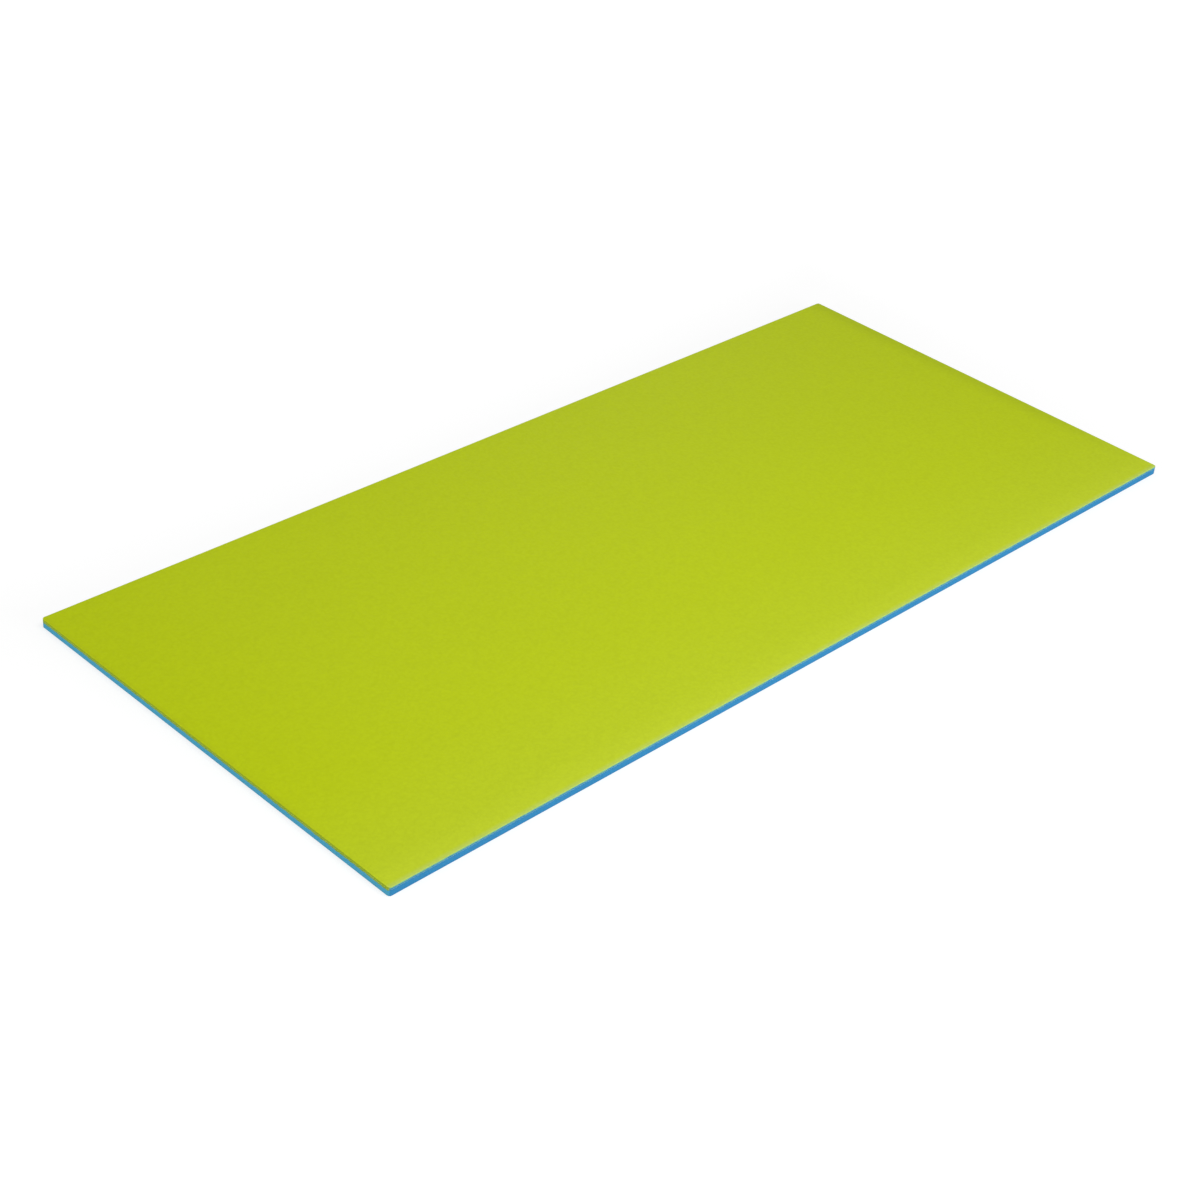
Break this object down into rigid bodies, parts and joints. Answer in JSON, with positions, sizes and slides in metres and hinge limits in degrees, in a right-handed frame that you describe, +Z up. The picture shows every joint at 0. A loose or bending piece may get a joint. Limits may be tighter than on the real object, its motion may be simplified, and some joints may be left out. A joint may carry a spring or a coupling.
{
  "type": "gymnastics mat",
  "caption": "Thin flat laminated foam exercise mat with small rounded corners: a lime top ply bonded to a thicker blue base ply, laid on a floor to cushion gymnastics.",
  "frame": {"origin": "middle of the underside, on the floor that the mat lies on", "axes": "+X along the length of the mat, +Y across its width, +Z up through its thickness, lime ply on top"},
  "size_m": [1.8, 0.8, 0.016],
  "materials": {
    "blue_foam": "matte",
    "bond_adhesive": "satin",
    "lime_foam": "matte"
  },
  "bodies": {
    "root": {"blue_base_ply": "blue_foam", "bond_film": "bond_adhesive", "lime_top_ply": "lime_foam"}
  },
  "joints": []
}
